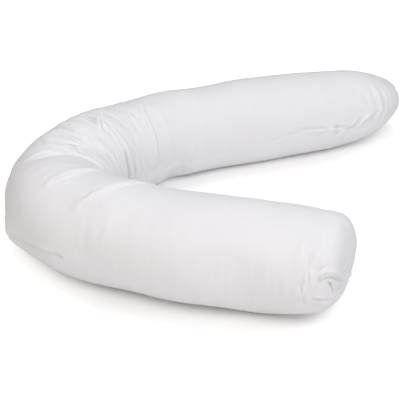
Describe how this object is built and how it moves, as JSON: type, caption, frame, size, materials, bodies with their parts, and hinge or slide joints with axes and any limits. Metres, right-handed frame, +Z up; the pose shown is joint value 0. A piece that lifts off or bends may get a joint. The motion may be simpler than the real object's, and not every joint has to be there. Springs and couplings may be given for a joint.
{
  "type": "body pillow",
  "caption": "Full-length body pillow: a firmly filled white cotton bolster bent into a V, with soft folds at the bend and sewn, drawn-in ends.",
  "frame": {"origin": "middle of the pillow's box in plan, on the surface it lies on", "axes": "+Z up from that surface; +X from the bend towards both ends, along the opening of the V; +Y from the front arm towards the back arm"},
  "size_m": [0.995, 1.082, 0.2351],
  "materials": {
    "cover": "white plain-weave cotton, matt, tightly filled, with fine creases"
  },
  "bodies": {
    "root": {"pillow": "cover"}
  },
  "joints": []
}
